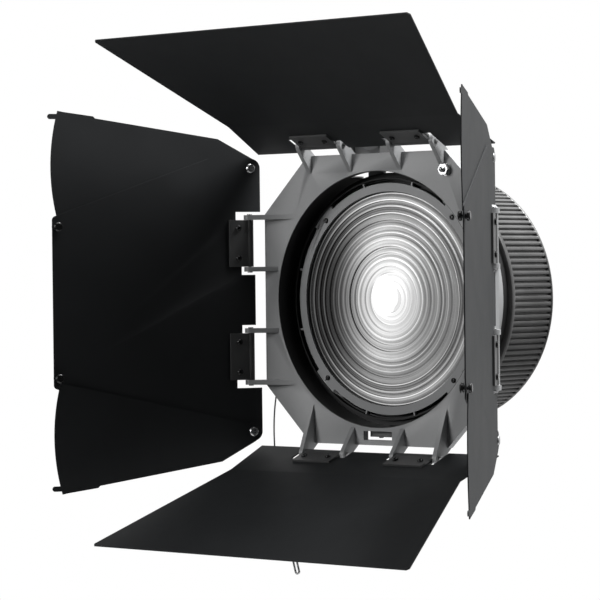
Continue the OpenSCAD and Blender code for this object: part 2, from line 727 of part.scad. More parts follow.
// A flap is a sector about its rivet, with a tab at its free edge and a finger that meets the stud
flap_r = leaf_l + 2;
flap_inner = -14.6;
tab_l = 28;
tab_high = leaf_l - 11;
tab_low = tab_high - tab_l;
tab_x = 45.6;
finger_x = 47;
finger_r = 2.4;
module flap_outline() {
    difference() {
        union() {
            intersection() {
                circle(r = flap_r, $fn = 180);
                polygon([[-7, 4], 1.2 * flap_r * [sin(flap_inner), cos(flap_inner)],
                    [tab_x + 13.4, 1.15 * flap_r], [tab_x, tab_low - 2],
                    [27.4, 32], [9, -2.2]]);
            }
            hull() for (up = [-8, 2]) translate([finger_x, leaf_l + up]) circle(r = finger_r);
            polygon([[tab_x - 2.6, tab_low - 4], [tab_x, tab_low - 2], [tab_x + 1.9, tab_low],
                [tab_x + 5.6, tab_high], [tab_x + 2.4, tab_high + 3], [tab_x - 3.6, tab_high + 3]]);
            circle(r = corner_r - 0.5);
        }
        circle(r = pivot_r + run_gap);
    }
}
module flap(side, open, dir) {
    leaf_place(side, open) flap_face(dir) scale([dir, 1, 1]) translate([pivot[0], 0, pivot[1]])
        slab(flap_low, flap_t) flap_outline();
}

module top_leaf() { color("#2b2b2e") wide_leaf(TOP, top_open); }
module top_hinge_plates() { color("#3c3d42") hinge_plates(TOP, top_open); }
module top_backing_plates() { color("#3c3d42") backing_plates(TOP, top_open); }
module top_leaf_screws() { color("#18181a") leaf_screws(TOP, top_open); }
module bottom_leaf() { color("#2b2b2e") wide_leaf(BOTTOM, bottom_open); }
module bottom_hinge_plates() { color("#3c3d42") hinge_plates(BOTTOM, bottom_open); }
module bottom_backing_plates() { color("#3c3d42") backing_plates(BOTTOM, bottom_open); }
module bottom_leaf_screws() { color("#18181a") leaf_screws(BOTTOM, bottom_open); }
module left_leaf() { color("#1d1d20") narrow_leaf(LEFT, left_open); }
module left_hinge_plates() { color("#3c3d42") hinge_plates(LEFT, left_open); }
module left_backing_plates() { color("#3c3d42") backing_plates(LEFT, left_open); }
module left_leaf_screws() { color("#18181a") leaf_screws(LEFT, left_open); }
module left_flap_rivets() { color("#77787d") flap_rivets(LEFT, left_open); }
module left_catch_studs() { color("#1b1b1d") catch_studs(LEFT, left_open); }
module right_leaf() { color("#4a4b4f") narrow_leaf(RIGHT, right_open); }
module right_hinge_plates() { color("#3c3d42") hinge_plates(RIGHT, right_open); }
module right_backing_plates() { color("#3c3d42") backing_plates(RIGHT, right_open); }
module right_leaf_screws() { color("#18181a") leaf_screws(RIGHT, right_open); }
module right_flap_rivets() { color("#77787d") flap_rivets(RIGHT, right_open); }
module right_catch_studs() { color("#1b1b1d") catch_studs(RIGHT, right_open); }
module left_upper_flap() { color("#202023") flap(LEFT, left_open, 1); }
module left_lower_flap() { color("#202023") flap(LEFT, left_open, -1); }
module right_upper_flap() { color("#55565a") flap(RIGHT, right_open, -1); }
module right_lower_flap() { color("#55565a") flap(RIGHT, right_open, 1); }

/* Safety cable */
anchor_x = -113;
anchor_y = -76;
anchor_r = 2;
anchor_z = frame_z - 4;
cable_r = 0.75;
CABLE = [[-117, -77, anchor_z], [-121, -78.5, 154], [-125.5, -81.5, 154], [-129, -86, 154],
    [-131, -92, 154],
    [-132.5, -101, 154], [-133.6, -112, 154], [-134.3, -124, 153.6], [-134.5, -136, 153],
        [-134, -150, 152.6],
    [-132.6, -164, 152.3], [-130.2, -178, 152], [-127, -192, 152], [-123.5, -205, 152],
        [-120, -217, 152],
    [-117, -227, 152], [-114.4, -236, 152]];
function unit(v) = v / norm(v);
function along(path, i) = unit(path[min(i + 1, len(path) - 1)] - path[max(i - 1, 0)]);
function spline(p, i, t) = let (a = p[max(i - 1, 0)], b = p[i], c = p[i + 1],
    d = p[min(i + 2, len(p) - 1)])
    0.5 * (2 * b + t * (c - a) + t * t * (2 * a - 5 * b + 4 * c - d) + t * t * t * (3 * b - a - 3 * c + d));
function smooth_path(p, n) = [for (i = [0:len(p) - 2], k = [0:n - 1])
    spline(p, i, k / n), p[len(p) - 1]];
module tube(path, r, sides) {
    count = len(path);
    points = [for (i = [0:count - 1]) let (d = along(path, i), u = unit(cross(d, [0, 0, 1])),
        v = cross(d, u))
        for (k = [0:sides - 1]) path[i] + r * (u * cos(k * 360 / sides) + v * sin(k * 360 / sides))];
    faces = concat(
        [for (i = [0:count - 2], k = [0:sides - 1]) let (a = i * sides, b = a + sides, n = (k + 1)
            % sides)
            each [[a + k, b + k, b + n], [a + k, b + n, a + n]]],
        [[for (k = [0:sides - 1]) k]], [[for (k = [sides - 1:-1:0]) (count - 1) * sides + k]]);
    polyhedron(points, faces);
}
cable_end = CABLE[len(CABLE) - 1];
cable_lean = atan(2.6 / 9);
ferrule_l = 8;
module cable_anchor() {
    color("#8a8b90") forward() translate([anchor_x, anchor_y, 0]) {
        translate([0, 0, frame_z - 8]) cylinder(r = 4, h = 8);
        translate([0, 0, frame_z - 1]) cylinder(r = anchor_r, h = 5);
    }
}
module safety_cable() { color("#4a4b50") forward() tube(smooth_path(CABLE, 4), cable_r, 8); }
module cable_ferrule() {
    color("#b4b5ba") forward() translate(cable_end) rotate([0, 0, cable_lean]) rotate([90, 0, 0])
        cylinder(r = 1.7, h = ferrule_l);
}
module cable_eye() {
    wire = 1;
    color("#9c9da3") forward() translate(cable_end) rotate([0, 0, cable_lean])
        translate([0, -ferrule_l - 7.8, 0]) {
        for (dir = [-1, 1]) translate([0, dir * 4.6, 0]) rotate([0, 0, dir > 0 ? 0 : 180])
            rotate_extrude(angle = 180, $fn = 48) translate([2.2, 0]) circle(r = wire, $fn = 24);
        for (dir = [-1, 1]) translate([dir * 2.2, -4.6, 0]) rotate([-90, 0, 0])
            cylinder(r = wire, h = 9.2, $fn = 24);
    }
}

mount_plate();
bayonet_ring();
mount_screws();
rear_housing();
guide_tube();
guide_screws();
front_housing();
front_housing_screws();
fresnel_lens();
lens_gasket();
lens_bezel();
bezel_screws();
focus_grip();
cam_sleeve();
rear_slide_ring();
front_slide_ring();
lens_carriage();
condenser_lens();
condenser_retainer();
follower_pins();
door_frame();
frame_clip();
clip_screws();
lock_stud();
lock_nut();
hinge_pins();
latch_housing();
frame_latch();
latch_spring();
latch_guide_screws();
top_leaf();
top_hinge_plates();
top_backing_plates();
top_leaf_screws();
bottom_leaf();
bottom_hinge_plates();
bottom_backing_plates();
bottom_leaf_screws();
left_leaf();
left_hinge_plates();
left_backing_plates();
left_leaf_screws();
left_flap_rivets();
left_catch_studs();
right_leaf();
right_hinge_plates();
right_backing_plates();
right_leaf_screws();
right_flap_rivets();
right_catch_studs();
left_upper_flap();
left_lower_flap();
right_upper_flap();
right_lower_flap();
cable_anchor();
safety_cable();
cable_ferrule();
cable_eye();
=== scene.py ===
"""Looks of a fresnel lens head with a four-leaf barn door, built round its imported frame.

Lengths in the classes are millimetres in the head's own beam frame, where z runs out along the beam from
the rear mount face, y is up and x is to the right seen from in front. beam() turns them into metres.
"""

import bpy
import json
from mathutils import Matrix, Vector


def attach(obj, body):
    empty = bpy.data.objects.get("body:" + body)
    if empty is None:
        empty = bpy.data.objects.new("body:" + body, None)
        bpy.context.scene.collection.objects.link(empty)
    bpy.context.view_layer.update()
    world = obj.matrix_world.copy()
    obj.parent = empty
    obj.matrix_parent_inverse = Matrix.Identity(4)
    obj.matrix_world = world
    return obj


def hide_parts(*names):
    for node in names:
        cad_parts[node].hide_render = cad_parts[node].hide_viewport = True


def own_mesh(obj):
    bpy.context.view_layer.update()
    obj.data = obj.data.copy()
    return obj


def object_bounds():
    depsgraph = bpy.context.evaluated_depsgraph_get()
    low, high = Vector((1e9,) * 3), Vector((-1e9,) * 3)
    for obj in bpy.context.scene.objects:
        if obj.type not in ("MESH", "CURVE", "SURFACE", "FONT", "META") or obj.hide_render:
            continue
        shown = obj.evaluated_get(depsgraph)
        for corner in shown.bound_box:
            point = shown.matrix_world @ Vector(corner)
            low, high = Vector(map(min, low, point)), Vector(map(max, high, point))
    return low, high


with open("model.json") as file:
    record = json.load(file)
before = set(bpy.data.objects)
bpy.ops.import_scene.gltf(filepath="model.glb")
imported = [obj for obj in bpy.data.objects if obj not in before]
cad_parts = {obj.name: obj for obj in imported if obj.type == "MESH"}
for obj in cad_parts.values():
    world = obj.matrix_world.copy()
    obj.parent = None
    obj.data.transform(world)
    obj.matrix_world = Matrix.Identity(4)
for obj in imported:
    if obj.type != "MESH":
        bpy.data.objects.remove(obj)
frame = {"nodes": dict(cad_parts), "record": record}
CAD_BOX = [list(corner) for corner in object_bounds()]

import json
import logging
import math
from dataclasses import dataclass, field
from typing import Optional, Sequence, Union

import bmesh
import bpy
import mathutils
import numpy as np

LOG = logging.getLogger("lens_head")
MM = 0.001
Array = np.ndarray
Number = Union[int, float]


# ---------------------------------------------------------------- shader maths


class Wire:
    """One shader socket, with the arithmetic operators adding Math nodes.

    Args:
        graph: The graph that the socket's node belongs to.
        socket: The output socket that carries the value.
    """

    def __init__(self, graph: "Graph", socket: bpy.types.NodeSocket) -> None:
        self.graph = graph
        self.socket = socket

    def math(self, operation: str, *others: Union["Wire", Number], clamp: bool = False) -> "Wire":
        """Adds one Math node. Args: its operation and the other operands. Returns: its result."""
        return self.graph.node("ShaderNodeMath", {"operation": operation, "use_clamp": clamp}, [self, *others])

    def __add__(self, other: Union["Wire", Number]) -> "Wire":
        """Sum."""
        return self.math("ADD", other)

    __radd__ = __add__

    def __mul__(self, other: Union["Wire", Number]) -> "Wire":
        """Product."""
        return self.math("MULTIPLY", other)

    __rmul__ = __mul__

    def __sub__(self, other: Union["Wire", Number]) -> "Wire":
        """Difference."""
        return self.math("SUBTRACT", other)

    def __rsub__(self, other: Number) -> "Wire":
        """Reflected difference."""
        return self.graph.node("ShaderNodeMath", {"operation": "SUBTRACT"}, [other, self])

    def __truediv__(self, other: Union["Wire", Number]) -> "Wire":
        """Quotient."""
        return self.math("DIVIDE", other)

    def clamp(self) -> "Wire":
        """The value held between 0 and 1."""
        return self.math("ADD", 0.0, clamp=True)

    def frac(self) -> "Wire":
        """The part after the decimal point."""
        return self.math("FRACT")

    def abs(self) -> "Wire":
        """The absolute value."""
        return self.math("ABSOLUTE")

    def step(self, low: float, high: float) -> "Wire":
        """A smooth step. Args: the values where it leaves 0 and reaches 1. Returns: the step."""
        return self.graph.node("ShaderNodeMapRange", {"interpolation_type": "SMOOTHSTEP"},
                               [self, low, high, 0.0, 1.0])


class Graph:
    """The node tree of one material."""

    def __init__(self, name: str) -> None:
        self.material = bpy.data.materials.new(name)
        self.material.use_nodes = True
        self.tree = self.material.node_tree
        self.tree.nodes.clear()

    def node(self, kind: str, settings: Optional[dict] = None, values: Union[Sequence, dict] = (),
             output: Union[int, str] = 0) -> Wire:
        """Makes any node.

        Args:
            kind: The node's type name.
            settings: Attributes that are set before anything is linked.
            values: Numbers, colours or wires for its inputs, in order or by input name.
            output: Which output is returned.

        Returns:
            The chosen output.
        """
        made = self.tree.nodes.new(kind)
        for key, value in (settings or {}).items():
            setattr(made, key, value)
        for key, value in values.items() if isinstance(values, dict) else enumerate(values):
            socket = made.inputs[key]
            if isinstance(value, Wire):
                self.tree.links.new(value.socket, socket)
            elif hasattr(socket.default_value, "__len__") and not np.isscalar(value):
                socket.default_value = (*value, 1.0) if len(value) < len(socket.default_value) else tuple(value)
            else:
                socket.default_value = value
        return Wire(self, made.outputs[output])

    def place(self, scale: tuple[float, float, float] = (1.0, 1.0, 1.0)) -> Wire:
        """Object coordinates in metres, stretched. Args: scale for each axis. Returns: the vector."""
        here = self.node("ShaderNodeTexCoord", output="Object")
        return self.node("ShaderNodeVectorMath", {"operation": "MULTIPLY"}, [here, scale])

    def noise(self, scale: float, detail: float = 3.0, rough: float = 0.5,
              stretch: tuple[float, float, float] = (1.0, 1.0, 1.0)) -> Wire:
        """Fractal noise on the object. Args: its scale per metre, detail, roughness and stretch."""
        return self.node("ShaderNodeTexNoise", {}, {"Vector": self.place(stretch), "Scale": scale,
                                                    "Detail": detail, "Roughness": rough})

    def cells(self, scale: float) -> Wire:
        """Distance to the nearest random point. Args: cells per metre. Returns: the distance."""
        return self.node("ShaderNodeTexVoronoi", {}, {"Vector": self.place(), "Scale": scale}, output="Distance")

    def mix(self, factor: Union[Wire, float], first: Union[Wire, Sequence], second: Union[Wire, Sequence]) -> Wire:
        """Blends two colours. Args: the factor and the colours. Returns: the blend."""
        made = self.tree.nodes.new("ShaderNodeMix")
        made.data_type = "RGBA"
        for index, value in ((0, factor), (6, first), (7, second)):
            socket = made.inputs[index]
            if isinstance(value, Wire):
                self.tree.links.new(value.socket, socket)
            else:
                socket.default_value = value if np.isscalar(value) else (*value, 1.0)
        return Wire(self, made.outputs[2])

    def bump(self, height: Wire, distance: float, strength: float) -> Wire:
        """A bump of a height map. Args: height, its depth in metres and strength. Returns: the normal."""
        return self.node("ShaderNodeBump", {}, {"Height": height, "Distance": distance, "Strength": strength})

    def axis(self, vector: Wire, letter: str) -> Wire:
        """One part of a vector. Args: the vector and X, Y or Z. Returns: that part."""
        return self.node("ShaderNodeSeparateXYZ", {}, [vector], output=letter)

    def length(self, vector: Wire) -> Wire:
        """A vector's length. Args: the vector. Returns: the length."""
        return self.node("ShaderNodeVectorMath", {"operation": "LENGTH"}, [vector], output="Value")

    def ring_chance(self, reach: Wire, pitch: float, seed: float) -> Wire:
        """A random number for each ring about the axis. Args: radius, ring width and seed. Returns: 0 to 1."""
        turn = reach / pitch
        return self.node("ShaderNodeTexWhiteNoise", {"noise_dimensions": "1D"}, {"W": turn - turn.frac() + seed},
                         output="Value")

    def finish(self, **inputs: Union[Wire, float, Sequence]) -> bpy.types.Material:
        """Adds the Principled shader. Args: its inputs, with _ for a space. Returns: the material."""
        named = {key.replace("_", " "): value for key, value in inputs.items()}
        shader = self.node("ShaderNodeBsdfPrincipled", {}, named)
        out = self.tree.nodes.new("ShaderNodeOutputMaterial")
        self.tree.links.new(shader.socket, out.inputs["Surface"])
        return self.material


# ---------------------------------------------------------------- finishes


def grey(level: float, tint: float = 0.0) -> tuple[float, float, float]:
    """A grey with a slight blue tint. Args: level and tint. Returns: the colour."""
    return (level * (1 - tint), level * (1 - 0.5 * tint), level)


@dataclass(frozen=True)
class Paint:
    """Paint or powder coat on metal: a fine grain, faint mottling, soft dust and, where a radius is given, painted
    shade on the wall of an opening.
    """

    name: str
    level: float
    tint: float = 0.03
    rough: float = 0.5
    grain: float = 2600.0
    grain_depth: float = 0.00004
    mottle: float = 0.18
    dust: float = 0.0
    metallic: float = 0.0
    shine: float = 0.5
    painted_shade_radius: float = 0.0

    def build(self) -> bpy.types.Material:
        """Returns the material, with painted shade (near black) on the wall of the opening whose radius in metres
        is given.
        """
        g = Graph(self.name)
        fine = g.noise(self.grain, 3.0, 0.6)
        broad = g.noise(26.0, 4.0, 0.55)
        shade = 1.0 + (broad - 0.5) * (2 * self.mottle) + (fine - 0.5) * 0.35
        base = g.mix(shade * 0.5, grey(self.level * 0.15, self.tint), grey(self.level * 1.85, self.tint))
        specks = g.cells(900.0).step(0.12, 0.03) * g.noise(40.0).step(0.5, 0.75)
        base = g.mix(specks * self.dust, base, grey(0.35))
        # Painted shade: the wall of the opening, from the given radius to 1 mm inside it, is made near black.
        if self.painted_shade_radius:
            reach = g.length(g.place((1.0, 0.0, 1.0)))
            inside = reach.step(self.painted_shade_radius, self.painted_shade_radius + 0.0002)
            base = g.mix(inside + reach.step(self.painted_shade_radius - 0.001, self.painted_shade_radius - 0.0012), grey(0.002), base)
        rough = self.rough + (broad - 0.5) * 0.16 + (fine - 0.5) * 0.12
        normal = g.bump(fine, self.grain_depth, 0.6)
        return g.finish(Base_Color=base, Roughness=rough, Normal=normal, Metallic=self.metallic,
                        Specular_IOR_Level=self.shine)


@dataclass(frozen=True)
class Rubber:
    """Moulded black rubber with a faint bloom and worn high spots."""

    name: str = "grip_rubber"
    level: float = 0.035
    rough: float = 0.42

    def build(self) -> bpy.types.Material:
        """Returns the material."""
        g = Graph(self.name)
        fine = g.noise(1900.0, 2.0)
        broad = g.noise(34.0, 4.0)
        base = g.mix((broad * 0.7 + fine * 0.3).step(0.3, 0.75), grey(self.level * 0.7), grey(self.level * 1.5))
        rough = self.rough + (broad - 0.5) * 0.2 + (fine - 0.5) * 0.1
        return g.finish(Base_Color=base, Roughness=rough, Normal=g.bump(fine, 0.00003, 0.5))


@dataclass(frozen=True)
class Metal:
    """Bare or plated metal with turning marks and light handling."""

    name: str
    level: float
    rough: float = 0.22
    metallic: float = 1.0
    tint: float = 0.02
    marks: float = 900.0

    def build(self) -> bpy.types.Material:
        """Returns the material."""
        g = Graph(self.name)
        marks = g.noise(self.marks, 2.0, 0.5, (1.0, 0.12, 1.0))
        stain = g.noise(90.0, 4.0, 0.6)
        base = g.mix(stain, grey(self.level * 0.78, self.tint), grey(min(1.0, self.level * 1.18), self.tint))
        rough = self.rough + (marks - 0.5) * 0.18 + (stain - 0.5) * 0.16
        return g.finish(Base_Color=base, Roughness=rough, Metallic=self.metallic,
                        Normal=g.bump(marks, 0.00002, 0.5))


@dataclass(frozen=True)
class LensGlass:
    """Stepped lens glass that glows by emission, painted light standing in for light from behind: uneven rings
    with painted bright highlight lines and painted dark riser shadows, stippled facets, a painted hot centre with
    a soft glow round it, painted shade on the left and painted brightening towards top and bottom.
    """

    name: str = "lens_glass"
    pitch: float = 6.0
    hot: float = 15.0
    hot_centre: tuple[float, float] = (-8.0, 3.0)
    hot_narrow: float = 1.3

    def build(self) -> bpy.types.Material:
        """Returns the material."""
        g = Graph(self.name)
        here = g.place((1000.0, 0.0, 1000.0))
        across, up = g.axis(here, "X"), g.axis(here, "Z")
        reach = g.length(here)
        squeezed = g.place((1000.0 * self.hot_narrow, 0.0, 1000.0))
        centre = (self.hot_centre[0] * self.hot_narrow, 0.0, self.hot_centre[1])
        from_hot = g.length(g.node("ShaderNodeVectorMath", {"operation": "SUBTRACT"}, [squeezed, centre]))
        ring = (reach / self.pitch).frac()
        # Painted highlight: a thin bright line near the crest of each ring, of random strength.
        line = ring.step(0.04, 0.12) * (1.0 - ring.step(0.16, 0.3))
        line = line * (0.2 + g.ring_chance(reach, self.pitch, 0.0) * 1.3)
        # Painted shadow: a dark line at the riser of some rings.
        dark = (1.0 - ring.step(0.05, 0.24)) * g.ring_chance(reach, self.pitch, 17.0)
        fine = g.ring_chance(reach, self.pitch / 5, 31.0) - 0.5
        stipple = g.noise(1100.0, 2.0, 0.7) - 0.5
        patch = g.noise(30.0, 3.0, 0.6) - 0.5
        outer = reach.step(25.0, 80.0)
        # Painted shade: darker towards the left of the lens.
        left = (across * -0.01).step(0.05, 0.8)
        # Painted light: brighter towards the top and bottom of the lens.
        upright = (up.abs() * 0.01).step(0.3, 0.9)
        # Painted glow: a soft glow round the hot centre, as if from the lamp behind.
        painted_halo = 1.0 - from_hot.step(self.hot, 80.0)
        # Painted light level: brighter near the hot centre and towards top and bottom.
        painted_glow_level = 0.13 + painted_halo * 0.8 + upright * 0.1
        # Ring pattern, grain and patches, less the painted riser shadows.
        ring_pattern_and_painted_shadow = 0.9 + (fine * 1.1 + stipple * 0.9 + patch * 0.7) * (0.25 + outer * 0.75) - dark * 0.9
        # Emission strength: painted light level times the ring pattern, with painted shade on the left, plus the
        # painted highlight lines.
        glow = painted_glow_level * ring_pattern_and_painted_shadow * (1.0 - left * 0.9) + line * (0.16 + upright * 0.34 + painted_halo * 0.1) * (1.0 - left * 0.5)
        # Painted glow: the hot centre itself, clipped to white.
        painted_core = 1.0 - from_hot.step(self.hot, self.hot + 5.0)
        # The lens glows by emission though it is no lamp: painted light.
        light = g.mix((glow + painted_core * 2.0).clamp(), grey(0.0), grey(1.0))
        # Base colour carrying the painted highlight lines, painted riser shadows and painted shade on the left.
        shade = (0.3 + fine * 0.4 + line * 0.3 - dark * 0.4) * (1.0 - left * 0.9)
        base = g.mix(shade.clamp(), grey(0.01), grey(0.6))
        return g.finish(Base_Color=base, Roughness=0.2 + stipple * 0.2, Normal=g.bump(stipple, 0.0002, 0.5),
                        Emission_Color=light, Emission_Strength=1.0, IOR=1.5, Coat_Weight=0.15, Coat_Roughness=0.1)


@dataclass(frozen=True)
class CondenserGlass:
    """Polished moving lens with a painted glow, brightest at its centre, standing in for the lamp's light."""

    name: str = "condenser_glass"

    def build(self) -> bpy.types.Material:
        """Returns the material."""
        g = Graph(self.name)
        here = g.place((1000.0, 0.0, 1000.0))
        reach = g.length(here)
        haze = g.noise(60.0, 3.0)
        base = g.mix(haze, grey(0.55), grey(0.8))
        # Painted glow: emission brightest at the centre, though the lens is no lamp.
        glow = g.mix(reach.step(58.0, 5.0), grey(0.05), grey(0.9))
        return g.finish(Base_Color=base, Roughness=0.05 + haze * 0.06, Emission_Color=glow, Emission_Strength=0.8,
                        IOR=1.52, Coat_Weight=0.5, Coat_Roughness=0.03)


@dataclass(frozen=True)
class Stranded:
    """Twisted wire rope, dark between its strands."""

    name: str = "cable_steel"

    def build(self) -> bpy.types.Material:
        """Returns the material."""
        g = Graph(self.name)
        stain = g.noise(700.0, 3.0)
        base = g.mix(stain, grey(0.05), grey(0.2))
        return g.finish(Base_Color=base, Roughness=0.3 + stain * 0.25, Metallic=0.8)


FINISHES = {
    # The frame's paint is made near black on the wall of its opening: painted shade.
    "frame_grey": Paint("frame_grey", 0.23, rough=0.42, grain=1800.0, grain_depth=0.00005, mottle=0.1, dust=0.1,
                        painted_shade_radius=0.1171),
    "cast_grey": Paint("cast_grey", 0.22, rough=0.45, mottle=0.12),
    "housing_black": Paint("housing_black", 0.01, rough=0.6, mottle=0.3, shine=0.3),
    "leaf_black": Paint("leaf_black", 0.008, 0.25, rough=0.62, grain=3200.0, mottle=0.2, dust=0.06, shine=0.3),
    "plate_black": Paint("plate_black", 0.045, rough=0.48, grain=1300.0, grain_depth=0.00012, mottle=0.3,
                         dust=0.5),
    "black_screw": Paint("black_screw", 0.02, rough=0.26, metallic=0.6),
    "gasket": Paint("gasket", 0.01, rough=0.7),
    "slide_plastic": Paint("slide_plastic", 0.6, -0.04, rough=0.4, mottle=0.08),
    "grip_rubber": Rubber(),
    "machined": Metal("machined", 0.6, rough=0.3, marks=1500.0),
    "bright_steel": Metal("bright_steel", 0.4, rough=0.28),
    "lens_glass": LensGlass(),
    "condenser_glass": CondenserGlass(),
    "cable_steel": Stranded(),
}
SLOT_OF = {part["node"]: part["material_slot"] for part in frame["record"]["subparts"]}
BODY_OF = {node: body for body, nodes in frame["record"]["behaviour"]["bodies"].items() for node in nodes}
MADE: dict[str, bpy.types.Material] = {}


def finish_of(node: str) -> bpy.types.Material:
    """The material of a node's slot, made once. Args: node name. Returns: the material."""
    slot = SLOT_OF[node]
    if slot not in MADE:
        MADE[slot] = FINISHES[slot].build()
    return MADE[slot]


# ---------------------------------------------------------------- meshes


def beam(x: Array, y: Array, z: Array) -> Array:
    """Beam-frame millimetres as world metres. Args: x, y, z arrays. Returns: points, one a row."""
    return np.stack([x, -z, y], axis=-1).reshape(-1, 3) * MM


def mesh_object(name: str, points: Array, quads: Array, extra: Sequence[Sequence[int]] = ()) -> bpy.types.Object:
    """A mesh object from arrays.

    Args:
        name: The object's name.
        points: World points, one a row.
        quads: Corner numbers of the four-sided faces.
        extra: Further faces of any length.

    Returns:
        The linked object.
    """
    mesh = bpy.data.meshes.new(name)
    mesh.from_pydata(points.tolist(), [], [*quads.tolist(), *extra])
    mesh.validate()
    made = bpy.data.objects.new(name, mesh)
    bpy.context.scene.collection.objects.link(made)
    return made


def grid_quads(rows: int, columns: int, loop_rows: bool, loop_columns: bool) -> Array:
    """Faces of a grid of points stored row by row.

    Args:
        rows: Number of rows.
        columns: Points in a row.
        loop_rows: Whether the last row joins the first one.
        loop_columns: Whether each row closes on itself.

    Returns:
        Corner numbers, four a row.
    """
    i, j = np.meshgrid(np.arange(rows - (not loop_rows)), np.arange(columns - (not loop_columns)), indexing="ij")
    k, m = (i + 1) % rows, (j + 1) % columns
    return np.stack([i * columns + j, i * columns + m, k * columns + m, k * columns + j], axis=-1).reshape(-1, 4)


def outward(made: bpy.types.Object, sharp: float = 35.0) -> bpy.types.Object:
    """Merges doubles, turns faces outwards and smooths all but sharp edges. Args: object, degrees. Returns: it."""
    work = bmesh.new()
    work.from_mesh(made.data)
    bmesh.ops.remove_doubles(work, verts=work.verts, dist=SAME_POINT)
    bmesh.ops.recalc_face_normals(work, faces=work.faces)
    work.to_mesh(made.data)
    work.free()
    made.data.shade_smooth()
    made.data.set_sharp_from_angle(angle=math.radians(sharp))
    return made


def wear(made: bpy.types.Object, node: str) -> bpy.types.Object:
    """Gives a piece its node's finish, body and place. Args: piece, the node it stands for. Returns: it."""
    made.data.materials.clear()
    made.data.materials.append(finish_of(node))
    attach(made, BODY_OF[node])
    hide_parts(node)
    LOG.info("%s: %d vertices", made.name, len(made.data.vertices))
    return made


SAME_POINT = 1e-6
FLAT_WITHIN = 0.4
CREASE = 28.0


def softened(node: str, bevel: float) -> bpy.types.Object:
    """A merged copy of a node with its coplanar triangles joined and its edges rounded.

    Args:
        node: The node it stands for.
        bevel: Width of the rounding, in millimetres.

    Returns:
        The piece, which replaces the node.
    """
    mesh = frame["nodes"][node].data.copy()
    mesh.name = f"{node}_shape"
    made = bpy.data.objects.new(f"{node}_shape", mesh)
    bpy.context.scene.collection.objects.link(made)
    work = bmesh.new()
    work.from_mesh(mesh)
    bmesh.ops.remove_doubles(work, verts=work.verts, dist=SAME_POINT)
    bmesh.ops.dissolve_limit(work, angle_limit=math.radians(FLAT_WITHIN), verts=work.verts, edges=work.edges)
    work.to_mesh(mesh)
    work.free()
    mesh.shade_smooth()
    mesh.set_sharp_from_angle(angle=math.radians(CREASE))
    rounding = made.modifiers.new("rounding", "BEVEL")
    rounding.width = bevel * MM
    rounding.segments = 2
    rounding.limit_method = "ANGLE"
    rounding.angle_limit = math.radians(CREASE)
    rounding.harden_normals = True
    rounding.use_clamp_overlap = True
    rounding.miter_outer = "MITER_ARC"
    return wear(made, node)


def turned(name: str, radii: Array, heights: Array, steps: int) -> bpy.types.Object:
    """A profile turned about the beam axis.

    The point at angle a is (r cos a, r sin a, z) for each profile point (r, z).

    Args:
        name: The object's name.
        radii: Profile radii, in millimetres.
        heights: Profile heights along the beam, in millimetres.
        steps: Points round the axis.

    Returns:
        The object, whose profile is closed.
    """
    angle = np.linspace(0.0, 2 * np.pi, steps, endpoint=False)[None, :]
    r, z = radii[:, None], heights[:, None]
    points = beam(r * np.cos(angle), r * np.sin(angle), z + 0 * angle)
    return outward(mesh_object(name, points, grid_quads(len(radii), steps, True, True)))


# ---------------------------------------------------------------- sub-assemblies


@dataclass
class SafetyCable:
    """The thin wire rope that hangs from the frame plate; its ferrule and eye are not made here."""

    route: tuple[tuple[float, float, float], ...] = (
        (-117, -77, 154.1), (-121, -78.5, 154), (-125.5, -81.5, 154), (-129, -86, 154), (-131, -92, 154),
        (-132.5, -101, 154), (-133.6, -112, 154), (-134.3, -124, 153.6), (-134.5, -136, 153), (-134, -150, 152.6),
        (-132.6, -164, 152.3), (-130.2, -178, 152), (-127, -192, 152), (-123.5, -205, 152), (-120, -217, 152),
        (-117, -227, 152), (-114.4, -236, 152))
    radius: float = 0.75
    strands: int = 6
    lay_length: float = 9.0
    fine: int = 22
    sides: int = 24

    def centreline(self) -> Array:
        """Catmull-Rom curve through the route: each span blends four points. Returns: beam-frame points."""
        p = np.array(self.route)
        p = np.vstack([p[:1], p, p[-1:]])
        t = np.linspace(0.0, 1.0, self.fine, endpoint=False)[None, :, None]
        a, b, c, d = (p[k:len(p) - 3 + k][:, None] for k in range(4))
        curve = 0.5 * (2 * b + t * (c - a) + t ** 2 * (2 * a - 5 * b + 4 * c - d)
                       + t ** 3 * (3 * b - a - 3 * c + d))
        return np.vstack([curve.reshape(-1, 3), p[-1]])

    def build(self) -> bpy.types.Object:
        """A tube on the centreline whose radius dips between the twisting strands. Returns: the cord."""
        line = self.centreline()
        ahead = np.gradient(line, axis=0)
        ahead /= np.linalg.norm(ahead, axis=1, keepdims=True)
        side = np.cross(ahead, [0.0, 0.0, 1.0])
        side /= np.linalg.norm(side, axis=1, keepdims=True)
        up = np.cross(ahead, side)
        gone = np.concatenate([[0.0], np.cumsum(np.linalg.norm(np.diff(line, axis=0), axis=1))])
        angle = np.linspace(0.0, 2 * np.pi, self.sides, endpoint=False)[None, :]
        lobe = np.abs(np.sin(0.5 * self.strands * (angle - 2 * np.pi * gone[:, None] / self.lay_length)))
        r = self.radius * (0.8 + 0.2 * lobe)
        spoke = np.cos(angle)[..., None] * side[:, None] + np.sin(angle)[..., None] * up[:, None]
        ring = line[:, None] + r[..., None] * spoke
        points = beam(ring[..., 0], ring[..., 1], ring[..., 2])
        count = len(line)
        caps = [list(range(self.sides)), list(range((count - 1) * self.sides, count * self.sides))]
        cable = mesh_object("safety_cable_rope", points, grid_quads(count, self.sides, False, True), caps)
        outward(cable, 60.0)
        wear(cable, "safety_cable")
        path = beam(line[:, 0], line[:, 1], line[:, 2])
        return cable


